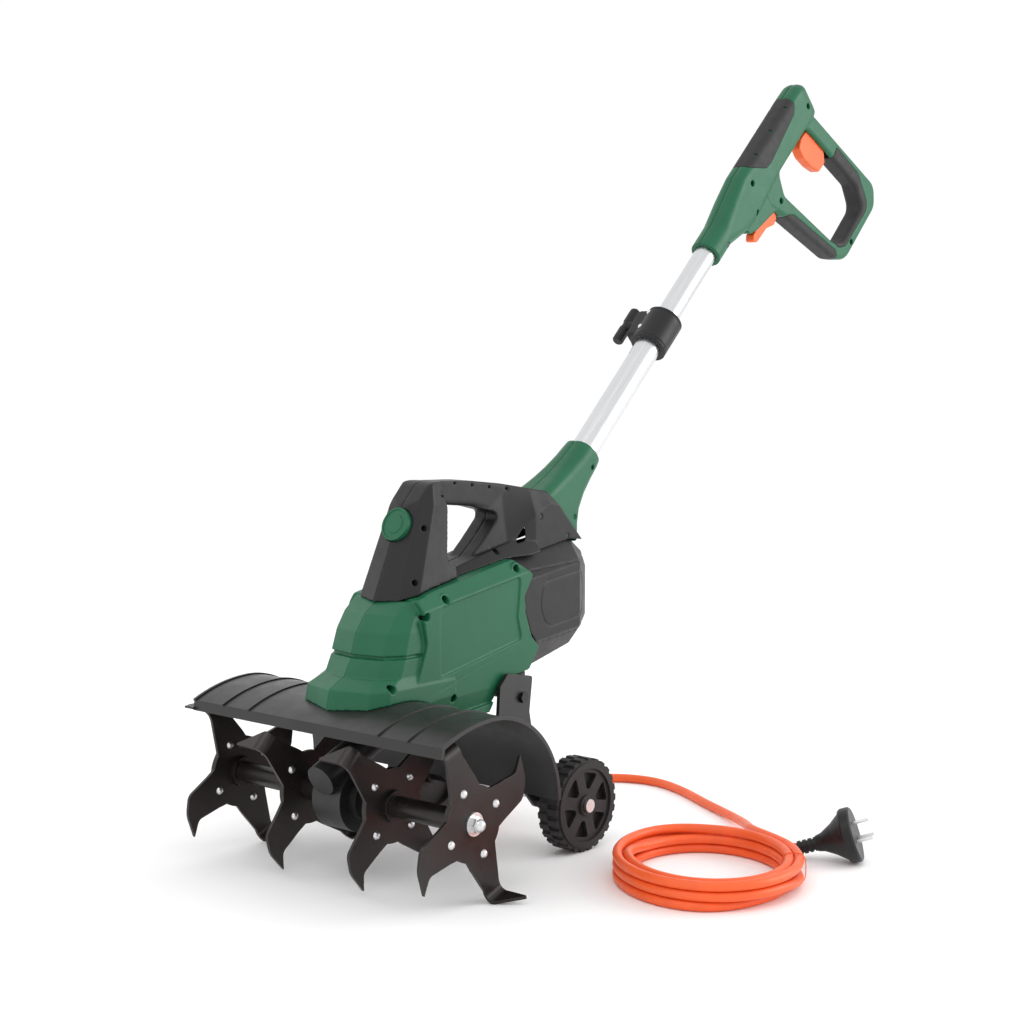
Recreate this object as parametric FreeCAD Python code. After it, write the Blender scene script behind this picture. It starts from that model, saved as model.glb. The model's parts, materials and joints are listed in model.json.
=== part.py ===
import FreeCAD, Part
import math
import os

# Electric garden tiller. Millimetres. X runs along the tine axle (+X is the operator's right-hand end),
# +Y points back towards the operator, +Z is up and z = 0 is the ground.
# The shapes are drawn with the tine axle at y = 0; every file is written moved by -ORIGIN_Y, which puts
# the origin on the ground under the middle of the machine.

V = FreeCAD.Vector
X_AXIS = V(1, 0, 0)
Y_AXIS = V(0, 1, 0)
Z_AXIS = V(0, 0, 1)

# ---- driving dimensions -------------------------------------------------------------------------
ORIGIN_Y = 555.0          # machine axle to the middle of the machine's length
AXLE_Z = 100.0            # height of the tine axle
TINE_R = 106.0            # sweep radius of the tines
TINE_PLATE = 4.0          # thickness of a tine plate
TINE_X_INNER = 70.0       # inner face of the inner tine plates
TINE_X_OUTER = 200.0      # inner face of the outer tine plates
TINE_SHAFT_R = 10.0
SLEEVE_R = 13.5
SLEEVE_FLANGE_R = 19.5
BOLT_CIRCLE_R = 42.0

SHIELD_HALF = 215.0       # half length of the tine guard
SHIELD_R = 118.0          # outer radius of its rear quarter
SHIELD_Y = 25.0           # centre of that quarter
SHIELD_Z = 103.0
SHIELD_T = 3.0

WHEEL_Y = 275.0
WHEEL_R = 60.5
WHEEL_IN = 117.0          # inner and outer face of a wheel
WHEEL_OUT = 152.0
WHEEL_AXLE_R = 6.0
PIVOT_Y = 236.0           # swing axis of the wheel frame
PIVOT_Z = 197.0
ARM_X = 70.0
ARM_T = 5.0

WORM_CENTRES = 45.0       # worm axis to tine axle
WORM_TILT = 24.0          # degrees, rear end of the motor up
WHEEL_TEETH = 40
MOTOR_R = 36.0

BODY_HALF = 66.0          # half width of the green side cheeks
WALL = 3.0

POLE_Y = 451.0            # pole axis at the mouth of the boot
POLE_Z = 499.0
POLE_ANGLE = 44.1
LOWER_TUBE_R = 19.0
UPPER_TUBE_R = 16.5
TUBE_WALL = 1.5
CLAMP_T0 = 205.0          # clamp along the pole, from the boot mouth
CLAMP_T1 = 262.0
KNOB_T = 248.0            # knob axis along the pole
CLAMP_R = 27.0
COLLAR_T = 400.0          # lower end of the handle

RUN = 0.05                # radial running clearance of shafts and pins

CORD_R = 6.0

NODES = {}


# ---- shape helpers ------------------------------------------------------------------------------
def rounded_wire(points, radii, closed):
    """Straight runs joined by tangent arcs of the given radius at each corner."""
    count = len(points)
    corners = []
    for i, point in enumerate(points):
        inner = closed or 0 < i < count - 1
        if not inner or radii[i] <= 0:
            corners.append((point, point, None))
            continue
        before = (points[i - 1] - point).normalize()
        after = (points[(i + 1) % count] - point).normalize()
        half = before.getAngle(after) / 2
        reach = radii[i] / math.tan(half)
        middle = (before + after).normalize()
        apex = point + middle * (radii[i] / math.sin(half) - radii[i])
        corners.append((point + before * reach, point + after * reach, apex))
    edges = []
    for i, (start, end, apex) in enumerate(corners):
        if apex is not None:
            edges.append(Part.Arc(start, apex, end).toShape())
        if i + 1 < count or closed:
            following = corners[(i + 1) % count][0]
            if end.distanceToPoint(following) > 1e-6:
                edges.append(Part.LineSegment(end, following).toShape())
    return Part.Wire(Part.__sortEdges__(edges))


def split_points(points):
    """Separate (a, b) or (a, b, corner radius) tuples into coordinates and radii."""
    coords = [(p[0], p[1]) for p in points]
    radii = [p[2] if len(p) > 2 else 0 for p in points]
    return coords, radii


def side_prism(points, x0, x1):
    """Closed outline of (y, z[, radius]) extruded from x0 to x1."""
    coords, radii = split_points(points)
    wire = rounded_wire([V(x0, y, z) for y, z in coords], radii, True)
    return Part.Face(wire).extrude(V(x1 - x0, 0, 0))


def both_sides(points, x0, x1):
    """The same side prism at +x0..x1 and at -x1..-x0."""
    return side_prism(points, x0, x1).fuse(side_prism(points, -x1, -x0))


def cylinder(start, direction, radius, length):
    return Part.makeCylinder(radius, length, start, direction)


def cross_pin(y, z, radius, x0, x1):
    return cylinder(V(x0, y, z), X_AXIS, radius, x1 - x0)


def tube_solid(start, direction, outer, inner, length):
    bore = cylinder(start - direction, direction, inner, length + 2)
    return cylinder(start, direction, outer, length).cut(bore)


def union(shapes):
    first = shapes[0]
    if len(shapes) > 1:
        first = first.multiFuse(shapes[1:])
    return first.removeSplitter()


def outward(solid):
    """The same solid with its faces turned outwards."""
    if solid.Volume < 0:
        solid.reverse()
    return solid


def group(shapes):
    return Part.makeCompound(shapes)


def halves(shape):
    """Left and right half of a shell that parts on the x = 0 plane."""
    reach = 2000
    right_space = Part.makeBox(reach, 2 * reach, 2 * reach, V(0, -reach, -reach))
    left_space = Part.makeBox(reach, 2 * reach, 2 * reach, V(-reach, -reach, -reach))
    return shape.common(left_space), shape.common(right_space)


def polygon_loft(sections):
    """Ruled solid through closed sections, each a list of vectors."""
    wires = [Part.makePolygon(section + [section[0]]) for section in sections]
    return outward(Part.makeLoft(wires, True, True))


def mirrored_section(points, z):
    """Level section from (x, y) points of its right side; the first point lies on x = 0."""
    right = [V(x, y, z) for x, y in points]
    left = [V(-x, y, z) for x, y in reversed(points) if x > 0]
    return right + left


def keep(name, shape):
    NODES[name] = shape


# ---- pole frame: t runs up the pole, n points back and down from it ------------------------------
def pole_u():
    a = math.radians(POLE_ANGLE)
    return V(0, math.cos(a), math.sin(a))


def pole_n():
    a = math.radians(POLE_ANGLE)
    return V(0, math.sin(a), -math.cos(a))


def pole_point(t, n, x=0):
    return V(x, POLE_Y, POLE_Z) + pole_u() * t + pole_n() * n


def pole_prism(points, x0, x1):
    """Closed outline of (t, n[, radius]) extruded from x0 to x1."""
    coords, radii = split_points(points)
    wire = rounded_wire([pole_point(t, n, x0) for t, n in coords], radii, True)
    return Part.Face(wire).extrude(V(x1 - x0, 0, 0))


def pole_section(t, half, front, rear, front_radius, rear_radius):
    """Rounded rectangle across the pole at t, from n = front to n = rear."""
    corners = [pole_point(t, front, half), pole_point(t, rear, half),
               pole_point(t, rear, -half), pole_point(t, front, -half)]
    return rounded_wire(corners, [front_radius, rear_radius, rear_radius, front_radius], True)


def pole_loft(sections, ruled=True):
    return outward(Part.makeLoft([pole_section(*section) for section in sections], True, ruled))


# ---- worm frame: s runs up the motor shaft from the point above the tine axle --------------------
def worm_direction():
    a = math.radians(WORM_TILT)
    return V(0, math.cos(a), math.sin(a))


def worm_point(s, x=0, up=0):
    a = math.radians(WORM_TILT)
    normal = V(0, -math.sin(a), math.cos(a))
    return V(x, 0, AXLE_Z) + normal * (WORM_CENTRES + up) + worm_direction() * s


def on_worm(s0, s1, radius):
    return cylinder(worm_point(s0), worm_direction(), radius, s1 - s0)


def ring_on_worm(s0, s1, outer, inner):
    return tube_solid(worm_point(s0), worm_direction(), outer, inner, s1 - s0)


# ---- green body ---------------------------------------------------------------------------------
BODY_OUTLINE = [(80, 344), (95, 347.5), (243, 373, 4), (269, 352, 5), (252, 327, 6), (253, 305, 6),
                (265, 272, 6), (281, 256, 3), (260, 229, 4), (208, 221, 5), (183, 184), (60, 184)]
CHEEK_OUTLINE = [(62, 339, 4), (95, 346), (243, 371, 4), (269, 352, 5), (252, 327, 6), (253, 305, 6),
                 (265, 272, 6), (281, 256, 3), (260, 229, 4), (208, 221, 5), (183, 184), (26, 184),
                 (24, 214, 14), (46, 226, 20), (57, 252, 40), (70, 284, 22), (66, 305, 20)]
SIDE_PANEL = [(93, 328, 6), (244, 352, 5), (241, 322, 5), (238, 300, 5), (246, 270, 6), (92, 240, 6)]
BODY_SCREWS = [(106, 336), (69, 319), (9, 238), (116, 212), (241, 362)]


def shield_outline(inset):
    """Side outline of the guard's outer skin, moved inwards by the inset."""
    radius = SHIELD_R - inset
    top = V(0, SHIELD_Y, SHIELD_Z + radius)
    diagonal = radius * math.sqrt(0.5)
    rear_middle = V(0, SHIELD_Y + diagonal, SHIELD_Z + diagonal)
    rear_end = V(0, SHIELD_Y + radius, SHIELD_Z)
    front_middle = V(0, -20 + 0.2 * inset, 216 - inset)
    front_end = V(0, -64 + inset, 201 - inset)
    return [Part.Arc(front_end, front_middle, top).toShape(), Part.Arc(top, rear_middle, rear_end).toShape()], \
        front_end, rear_end


def shield_body(inset, half):
    """Everything under the guard's skin at this inset, down to the level of its rear edge."""
    arcs, front_end, rear_end = shield_outline(inset)
    corner = V(0, front_end.y, SHIELD_Z)
    lines = [Part.LineSegment(rear_end, corner).toShape(), Part.LineSegment(corner, front_end).toShape()]
    face = Part.Face(Part.Wire(Part.__sortEdges__(arcs + lines)))
    solid = face.extrude(V(2 * half, 0, 0))
    solid.translate(V(-half, 0, 0))
    return solid


def nose_level(z, ridge, shoulder, corner, half, shoulder_half=44):
    return mirrored_section([(0, ridge), (shoulder_half, shoulder), (half, corner), (half, 118)], z)


def nose_block():
    """Three stacked, stepped bands in front, each falling back from a centre ridge."""
    bumper = polygon_loft([nose_level(186, -44, -27, -6, 69, 57), nose_level(236, -33, -19, 4, 67, 54)])
    bumper_top = polygon_loft([nose_level(236, -33, -19, 4, 67, 54), nose_level(248, -11, -1, 22, 62)])
    middle = polygon_loft([nose_level(247, -9, 1, 26, 62), nose_level(270, 3, 12, 36, 60.5)])
    groove = polygon_loft([nose_level(269, 7, 16, 39, 58), nose_level(276, 9, 18, 41, 57)])
    upper = polygon_loft([nose_level(275, 4, 13, 37, 60.5), nose_level(301, 13, 22, 46, 59)])
    brow = polygon_loft([nose_level(300.9, 13, 22, 46, 59), nose_level(322, 28, 36, 58, 56)])
    crown = polygon_loft([nose_level(321.9, 28, 36, 58, 56), nose_level(337, 50, 55, 72, 52)])
    return union([bumper, bumper_top, middle, groove, upper, brow, crown])


def body_core():
    """Solid shape of the green body: nose, middle block and the two raised side cheeks."""
    block = side_prism(BODY_OUTLINE, -BODY_HALF + 4, BODY_HALF - 4)
    cheeks = side_prism(CHEEK_OUTLINE, -BODY_HALF, BODY_HALF)
    shape = union([nose_block(), block, cheeks])
    for side in (-1, 1):
        bevel = polygon_loft([[V(side * 70, 30, 314), V(side * 70, 30, 352), V(side * 42, 30, 352)],
                              [V(side * 70, 300, 358), V(side * 70, 300, 396), V(side * 42, 300, 396)]])
        shape = shape.cut(bevel)
        lower_bevel = polygon_loft([[V(side * 70, -60, 200), V(side * 70, -60, 170), V(side * 52, -60, 170)],
                                    [V(side * 70, 285, 250), V(side * 70, 285, 206), V(side * 66, 285, 206)]])
        shape = shape.cut(lower_bevel)
    return shape


def body_cavity():
    outline = [(18, 236, 6), (34, 268), (42, 300), (62, 324, 6), (98, 334), (236, 357, 6), (244, 330),
               (244, 305), (256, 270), (268, 254), (252, 233, 4), (202, 226, 6), (176, 190), (60, 190)]
    half = BODY_HALF - 4 - WALL
    behind_nose = side_prism([(96, 180), (290, 180), (290, 380), (96, 380)], -half, half)
    return side_prism(outline, -50, 50).fuse(side_prism(outline, -half, half).common(behind_nose))


def screw_recess(y, z, surface):
    """Open countersink for a screw head, with the narrow hole that its shank runs in."""
    head = cross_pin(y, z, 5.0, surface - 16, surface + 12)
    shank = cross_pin(y, z, 2.0, -surface + 8, surface - 10)
    return head.fuse(shank)


def body_shells():
    shape = body_core().cut(body_cavity())
    bosses = [cross_pin(y, z, 8.0, -BODY_HALF + 6, BODY_HALF - 6) for y, z in BODY_SCREWS]
    inside = side_prism(BODY_OUTLINE, -BODY_HALF + 5, BODY_HALF - 5).fuse(nose_block())
    shape = shape.fuse([boss.common(inside) for boss in bosses])
    shape = shape.cut(on_worm(-60, 284, 25))
    for y, z in BODY_SCREWS:
        shape = shape.cut(screw_recess(y, z, BODY_HALF))
    panel = both_sides(SIDE_PANEL, BODY_HALF - 2.2, BODY_HALF + 5)
    rib_slots = both_sides([(90, 226), (226, 262), (226, 260.5), (90, 224.5)], BODY_HALF - 1, BODY_HALF + 5)
    rear_opening = on_worm(279, 330, MOTOR_R + 1)
    gland_hole = cylinder(V(0, GLAND_Y, GLAND_LOW), Z_AXIS, 10, 49)
    shape = shape.cut([panel, rib_slots, rear_opening, shield_body(0, SHIELD_HALF), gland_hole])
    left, right = halves(shape.removeSplitter())
    keep("body_shell_left", left)
    keep("body_shell_right", right)


# ---- dark upper housing: pillar, carry handle and pole socket ------------------------------------
UPPER_OUTLINE = [(30, 319), (95, 452, 50), (121, 479, 24), (196, 476, 200), (262, 468, 200), (335.7, 454.1),
                 (403, 384.8), (376, 388), (290, 374), (243, 373), (95, 348), (40, 334)]
CARRY_GAP = [(133, 374, 9), (148, 448, 14), (205, 442, 60), (258, 430, 8), (220, 394, 10), (198, 376, 12)]
UPPER_SCREWS = [(141, 462, 19), (99, 423, 34.5), (75, 358, 42), (316, 422, 46.5), (235, 382, 33), (371, 392, 46.5)]


def yoke_level(y, half, top_half, bottom, shoulder, top):
    return [V(half, y, bottom), V(half, y, shoulder), V(top_half, y, top),
            V(-top_half, y, top), V(-half, y, shoulder), V(-half, y, bottom)]


def upper_shells():
    pillar = polygon_loft([
        mirrored_section([(0, 34), (36, 44), (50, 66), (49, 152)], 316),
        mirrored_section([(0, 93), (25, 97), (34, 116), (27, 147)], 450),
        mirrored_section([(0, 110), (14, 114), (22, 125), (18, 139)], 489)])
    arch = side_prism([(118, 487, 20), (196, 481, 200), (262, 471, 200), (340, 449), (318, 420), (258, 430, 60),
                       (205, 442, 60), (150, 447, 20), (118, 440)], -17, 17)
    long_edges = [e for e in arch.Edges if abs(abs(e.CenterOfMass.x) - 17) < 0.01]
    arch = arch.makeFillet(7, long_edges)
    yoke = polygon_loft([yoke_level(194, 18, 12, 350, 374, 452), yoke_level(262, 26, 14, 356, 394, 474),
                         yoke_level(306, 38.5, 24, 366, 424, 466), yoke_level(336, 38.5, 30, 370, 438, 458),
                         yoke_level(416, 38.5, 30, 374, 424, 458)])
    loaf = polygon_loft([
        [V(47, 64, 334), V(25, 64, 346), V(-25, 64, 346), V(-47, 64, 334), V(-47, 64, 320), V(47, 64, 320)],
        [V(47, 306, 379), V(30, 306, 402), V(-30, 306, 402), V(-47, 306, 379), V(-47, 306, 360),
         V(47, 306, 360)]])
    shape = union([pillar, arch, yoke, loaf])
    shape = shape.common(side_prism(UPPER_OUTLINE, -60, 60))
    shape = shape.cut(side_prism(CARRY_GAP, -70, 70))
    pillar_hollow = polygon_loft([
        mirrored_section([(0, 54), (22, 58), (41, 80), (41, 140)], 340),
        mirrored_section([(0, 106), (14, 109), (23, 124), (17, 143)], 452)])
    socket = side_prism([(268, 380), (306, 438), (334, 446), (400, 382), (374, 384)], -33, 33)
    tube_way = cylinder(pole_point(-150, 0), pole_u(), LOWER_TUBE_R, 80)
    shape = shape.cut([pillar_hollow.common(side_prism([(30, 352), (30, 470), (142, 470), (142, 352)], -50, 50)),
                       socket, tube_way])
    for y, z, surface in UPPER_SCREWS:
        shape = shape.cut(cross_pin(y, z, 3.6, surface - 12, surface + 30))
    for index in range(4):
        y = 172 + 33 * index
        slot = cross_pin(y, 474 - 4.5 * index, 2.0, 11, 30)
        shape = shape.cut(slot)
    shape = shape.cut(badge_disc(0.0))
    left, right = halves(shape.removeSplitter())
    keep("upper_housing_left", left)
    keep("upper_housing_right", right)


def badge_disc(proud):
    """Round cap let into the front of the pillar, square to its sloping front."""
    centre, normal = badge_frame()
    return cylinder(centre - normal * 14, normal, 21.5, 14.8 + proud)


def badge_frame():
    slope = math.atan2(134, 59)
    return V(0, 83.2, 427), V(0, -math.sin(slope), math.cos(slope))


def badge_cap():
    """Plain cap with a raised rim and a raised middle."""
    centre, normal = badge_frame()
    rim = tube_solid(centre + normal, normal, 21.5, 19.0, 2.0)
    middle = Part.makeCone(13.0, 11.5, 2.2, centre + normal, normal)
    return union([badge_disc(1.2), rim, middle])


# ---- motor cover --------------------------------------------------------------------------------
def cover_section(y, top, top_half, band_top, band_bottom, half, bottom, bottom_half, inset):
    k = inset
    right = [V(top_half - k / 2, y, top - k), V(half - k, y, band_top - k / 2), V(half - k, y, band_bottom + k / 2),
             V(bottom_half - k / 2, y, bottom + k)]
    return right + [V(-p.x, p.y, p.z) for p in reversed(right)]


def cover_loft(inset):
    front = cover_section(244, 371, 36, 342, 260, 62, 216, 40, inset)
    middle = cover_section(384 - inset, 388, 30, 356, 271, 50, 244, 30, inset)
    rear = cover_section(425 - inset, 366, 18, 346, 280, 26, 262, 18, inset)
    return polygon_loft([front, middle, rear])


def motor_cover():
    outer = cover_loft(0)
    shape = outer.cut(cover_loft(WALL))
    emboss = [(298, 340, 14), (398, 348, 22), (404, 312, 60), (398, 284, 16), (304, 276, 22), (290, 308, 30)]
    inner_emboss = [(301, 337, 12), (396, 345, 20), (401, 312, 60), (395, 287, 14), (306, 279, 20), (293, 308, 28)]
    skin = outer.cut(cover_loft(1.1))
    ring = both_sides(emboss, 30, 70).cut(both_sides(inner_emboss, 29, 71))
    upper_line = both_sides([(262, 355), (430, 361), (430, 359), (262, 353)], 20, 70)
    lower_line = both_sides([(262, 258), (430, 270), (430, 268), (262, 256)], 20, 70)
    shape = shape.cut([skin.common(ring), skin.common(upper_line), skin.common(lower_line)])
    green = side_prism(BODY_OUTLINE, -70, 70)
    clear = [(225, 382), (247, 377), (275, 354), (257.5, 328), (258, 306), (270.5, 275), (288, 256), (264, 224),
             (225, 218)]
    shape = shape.cut([green, side_prism(clear, -70, 70), side_prism(UPPER_OUTLINE, -70, 70)])
    left, right = halves(shape.removeSplitter())
    keep("motor_cover_left", left)
    keep("motor_cover_right", right)


# ---- boot between housing and pole ---------------------------------------------------------------
BOOT_SECTIONS = [(-114, 31, -46, 56, 14, 14), (-98, 29.5, -41, 42, 14, 14), (-80, 28, -36, 32, 15, 15),
                 (-56, 26.5, -31, 27, 17, 17), (-30, 25.5, -27, 25.5, 19, 19), (-10, 25, -25, 25, 20, 20),
                 (0, 24, -24, 24, 20, 20)]


def boot_shells():
    outer = pole_loft(BOOT_SECTIONS)
    inset = [(t, half - WALL, front + WALL, rear - WALL, fr - 2, rr - 2)
             for t, half, front, rear, fr, rr in BOOT_SECTIONS[:-2]]
    shape = outer.cut(pole_loft(inset))
    shape = shape.cut(cylinder(pole_point(-130, 0), pole_u(), LOWER_TUBE_R, 150))
    for t, n in ((-20, 8), (-96, 24)):
        centre = pole_point(t, n)
        shape = shape.cut(cross_pin(centre.y, centre.z, 3.6, 18, 40))
    left, right = halves(shape.removeSplitter())
    keep("boot_left", left)
    keep("boot_right", right)


# ---- telescopic pole ----------------------------------------------------------------------------
def telescopic_pole():
    lower_t0 = -142
    lower_t1 = CLAMP_T1 - 14
    keep("lower_tube", tube_solid(pole_point(lower_t0, 0), pole_u(), LOWER_TUBE_R, LOWER_TUBE_R - TUBE_WALL,
                                  lower_t1 - lower_t0))
    upper_t0 = 58
    upper_t1 = COLLAR_T + 86
    keep("upper_tube", tube_solid(pole_point(upper_t0, 0), pole_u(), UPPER_TUBE_R, UPPER_TUBE_R - TUBE_WALL,
                                  upper_t1 - upper_t0))
    bush = tube_solid(pole_point(lower_t1 - 46, 0), pole_u(), LOWER_TUBE_R - TUBE_WALL, UPPER_TUBE_R + RUN, 46)
    keep("guide_bush", bush)


def pole_clamp():
    body = union([cylinder(pole_point(CLAMP_T0, 0), pole_u(), CLAMP_R, CLAMP_T1 - CLAMP_T0),
                  clamp_boss()])
    rim_low = tube_solid(pole_point(CLAMP_T0 + 3, 0), pole_u(), CLAMP_R + 5, CLAMP_R - 1.2, 2)
    rim_high = tube_solid(pole_point(CLAMP_T1 - 5, 0), pole_u(), CLAMP_R + 5, CLAMP_R - 1.2, 2)
    lower_bore = cylinder(pole_point(CLAMP_T0 - 1, 0), pole_u(), LOWER_TUBE_R, CLAMP_T1 - 14 - CLAMP_T0 + 1)
    upper_bore = cylinder(pole_point(CLAMP_T1 - 15, 0), pole_u(), UPPER_TUBE_R + RUN, 16)
    knob_hole = cylinder(pole_point(KNOB_T, 0, -60), X_AXIS, 4 + RUN, 45)
    body = body.cut([rim_low, rim_high, lower_bore, upper_bore, knob_hole])
    screws = []
    facing = (pole_n() * -0.85 + X_AXIS * -0.53).normalize()
    for t in (KNOB_T - 22, KNOB_T + 7):
        seat = pole_point(t, 0) + facing * (LOWER_TUBE_R + 0.5)
        head = cylinder(seat + facing * 6, facing, 4.7, 10)
        body = body.cut([cylinder(seat, facing, 2.5, 8), head])
        screws.append(union([cylinder(seat, facing, 2.5, 6.5), Part.makeSphere(4.6, seat + facing * 4.6).common(head)]))
    keep("pole_clamp", body)
    keep("clamp_screws", group(screws))


def clamp_boss():
    t0 = CLAMP_T0 + 7
    t1 = CLAMP_T1 + 1
    return pole_prism([(t0, -20, 6), (t1, -20, 6), (t1, 14, 6), (t0, 14, 6)], -33, -8)


def clamp_knob():
    """T knob: threaded stem across the pole, knurled grip bar parallel to the pole."""
    stem = cylinder(pole_point(KNOB_T, 0, -60), X_AXIS, 4, 39)
    neck = Part.makeCone(7.5, 5.5, 18, pole_point(KNOB_T, 0, -56), X_AXIS)
    grip_r = 8.5
    grip_x = -62
    bars = []
    for t0, t1 in ((-30, -5), (5, 30)):
        knurl = []
        teeth = 20
        for index in range(2 * teeth):
            radius = grip_r if index % 2 else grip_r - 0.9
            angle = math.pi * index / teeth
            knurl.append(pole_point(KNOB_T + t0, radius * math.cos(angle), grip_x + radius * math.sin(angle)))
        face = Part.Face(Part.makePolygon(knurl + [knurl[0]]))
        bars.append(face.extrude(pole_u() * (t1 - t0)))
    waist = cylinder(pole_point(KNOB_T - 31.5, 0, grip_x), pole_u(), 7, 63)
    keep("clamp_knob", union([stem, neck, waist] + bars))


# ---- handle -------------------------------------------------------------------------------------
BAR_SECTIONS = [(COLLAR_T, 23, -23, 23, 22.5, 22.5), (442, 23, -23, 23, 22.5, 22.5),
                (488, 21, -30, 34, 16, 12), (532, 19, -37, 36, 14, 10), (600, 19, -37, 27, 14, 8),
                (724, 19, -37, 27, 14, 8), (744, 19, -36, 29, 14, 8), (753, 17.5, -33, 27, 13, 8), (760, 13, -27, 21, 9, 7)]
LOOP_OUTER = [(560, 10), (742, 10), (752, 30, 10), (818, 228, 26), (794, 256, 26), (668, 258, 34),
              (642, 230, 30), (581, 88, 20), (560, 50)]
LOOP_INNER = [(616, 27, 14), (718, 27, 10), (727, 50, 20), (773, 190, 16), (762, 230, 16), (685, 231, 16),
              (660, 210, 14), (604, 64, 18)]
LOOP_HALF = 16.0
TRIGGER_PIVOT = (736, 44)
LEVER_PIVOT = (566, 52)
HANDLE_SCREWS = [(544, -12, 19), (589, 62, 15), (526, 30, 18), (432, 10, 26), (742, 2, 19), (700, 247, 15)]


def loop_solid():
    outer = pole_prism(LOOP_OUTER, -LOOP_HALF, LOOP_HALF)
    solid = outer.cut(pole_prism(LOOP_INNER, -LOOP_HALF - 5, LOOP_HALF + 5))
    rims = [e for e in solid.Edges if abs(abs(e.CenterOfMass.x) - LOOP_HALF) < 0.01]
    return solid.makeFillet(7, rims)


def handle_core():
    bar = pole_loft(BAR_SECTIONS)
    boss = pole_prism([(490, 20), (490, 42, 8), (512, 52, 8), (560, 62, 6), (592, 70), (600, 20)], -15, 15)
    return union([bar, loop_solid(), boss])


def trigger_shape():
    outline = [(742, 36, 4), (704, 36, 5), (691, 43, 6), (690, 62, 14), (698, 86, 20), (710, 108, 6),
               (733, 109, 6), (744, 92), (742, 62)]
    solid = pole_prism(outline, -8.5, 8.5)
    rims = [e for e in solid.Edges if abs(abs(e.CenterOfMass.x) - 8.5) < 0.01]
    return solid.makeFillet(2.5, rims)


def lever_shape():
    outline = [(574, 44, 4), (556, 44, 4), (541, 55, 8), (506, 57, 5), (498, 64, 4), (506, 72, 5), (540, 74, 14),
               (559, 84, 5), (571, 81, 5), (577, 62, 6)]
    solid = pole_prism(outline, -7.5, 7.5)
    rims = [e for e in solid.Edges if abs(abs(e.CenterOfMass.x) - 7.5) < 0.01]
    return solid.makeFillet(2.0, rims)


def grip_pad():
    """Soft pad over the front of the bar, let in flush with its surface."""
    skin = pole_loft(BAR_SECTIONS).cut(pole_loft([(t, h - 2.2, f + 2.2, r, fr - 2, rr)
                                                  for t, h, f, r, fr, rr in BAR_SECTIONS[2:6]]))
    reach = pole_prism([(551, -60), (717, -60), (713, -26, 10), (703, -15, 8), (604, -2, 8), (588, -4, 8), (555, -34, 10)],
                       -40, 40)
    return skin.common(reach)


def loop_pads(loop):
    """Soft inserts: inside of the loop, underside of the lower arm and top of the upper arm."""
    inner = pole_prism([(744, 112), (768, 106), (790, 180, 20), (778, 240, 20), (682, 240, 24), (650, 216, 20),
                        (668, 200), (690, 220), (740, 224), (764, 216), (766, 188)], -30, 30)
    lower = pole_prism([(560, 78), (591, 92, 6), (602, 102, 6), (656, 226, 8), (647, 238, 5), (622, 244)], -30, 30)
    upper = pole_prism([(759.5, 64, 4), (772, 64), (820, 205), (806.5, 205, 4)], -11, 11)
    return loop.common(inner), loop.common(lower), loop.common(upper)


def handle():
    core = handle_core()
    loop = loop_solid()
    pad = grip_pad()
    inner_pad, lower_pad, upper_pad = loop_pads(loop)
    bar_hollow = pole_prism([(492, -28), (735, -28), (735, 14), (600, 18), (560, 24), (530, 28), (492, 22)], -14, 14)
    arm_hollow = pole_prism([(744, 40), (752, 60), (800, 205), (790, 214), (776, 190), (757, 112), (744, 60)], -10, 10)
    tube_way = cylinder(pole_point(COLLAR_T - 5, 0), pole_u(), UPPER_TUBE_R, 92)
    trigger_way = pole_prism([(712, 20), (752, 20), (757, 110), (757, 116), (700, 116), (680, 60), (680, 32), (712, 32)],
                             -9.2, 9.2)
    lever_way = pole_prism([(520, 42), (576, 34), (582, 58), (580, 74), (576, 92), (550, 92), (490, 84), (490, 44)],
                           -8.2, 8.2)
    mouth = tube_solid(pole_point(COLLAR_T + 6, 0), pole_u(), CLAMP_R, 21.8, 1.6)
    seam = pole_prism([(COLLAR_T - 5, -60), (770, -60), (770, -20), (COLLAR_T - 5, -20)], -0.35, 0.35)
    shape = core.cut([bar_hollow, arm_hollow, tube_way, trigger_way, lever_way, mouth, pad, inner_pad, lower_pad,
                      upper_pad])
    shape = shape.cut(seam.cut(pole_loft([(t, h, f + 0.8, r, fr, rr) for t, h, f, r, fr, rr in BAR_SECTIONS])))
    for t, n, surface in HANDLE_SCREWS:
        centre = pole_point(t, n)
        shape = shape.cut(cross_pin(centre.y, centre.z, 4.6, surface - 9, surface + 8))
    for pivot in (TRIGGER_PIVOT, LEVER_PIVOT):
        centre = pole_point(*pivot)
        shape = shape.cut(cross_pin(centre.y, centre.z, 2.0, -13, 13))
    left, right = halves(shape.removeSplitter())
    keep("handle_shell_left", left)
    keep("handle_shell_right", right)
    keep("grip_pad", pad.cut(grip_dimples()))
    keep("loop_pads", group([inner_pad, lower_pad, upper_pad]))


def grip_dimples():
    dimples = []
    for t in (585, 640, 695):
        for x in (-13, 13):
            dimples.append(cylinder(pole_point(t, -50, x), pole_n(), 2.3, 19))
    return Part.makeCompound(dimples)


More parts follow.
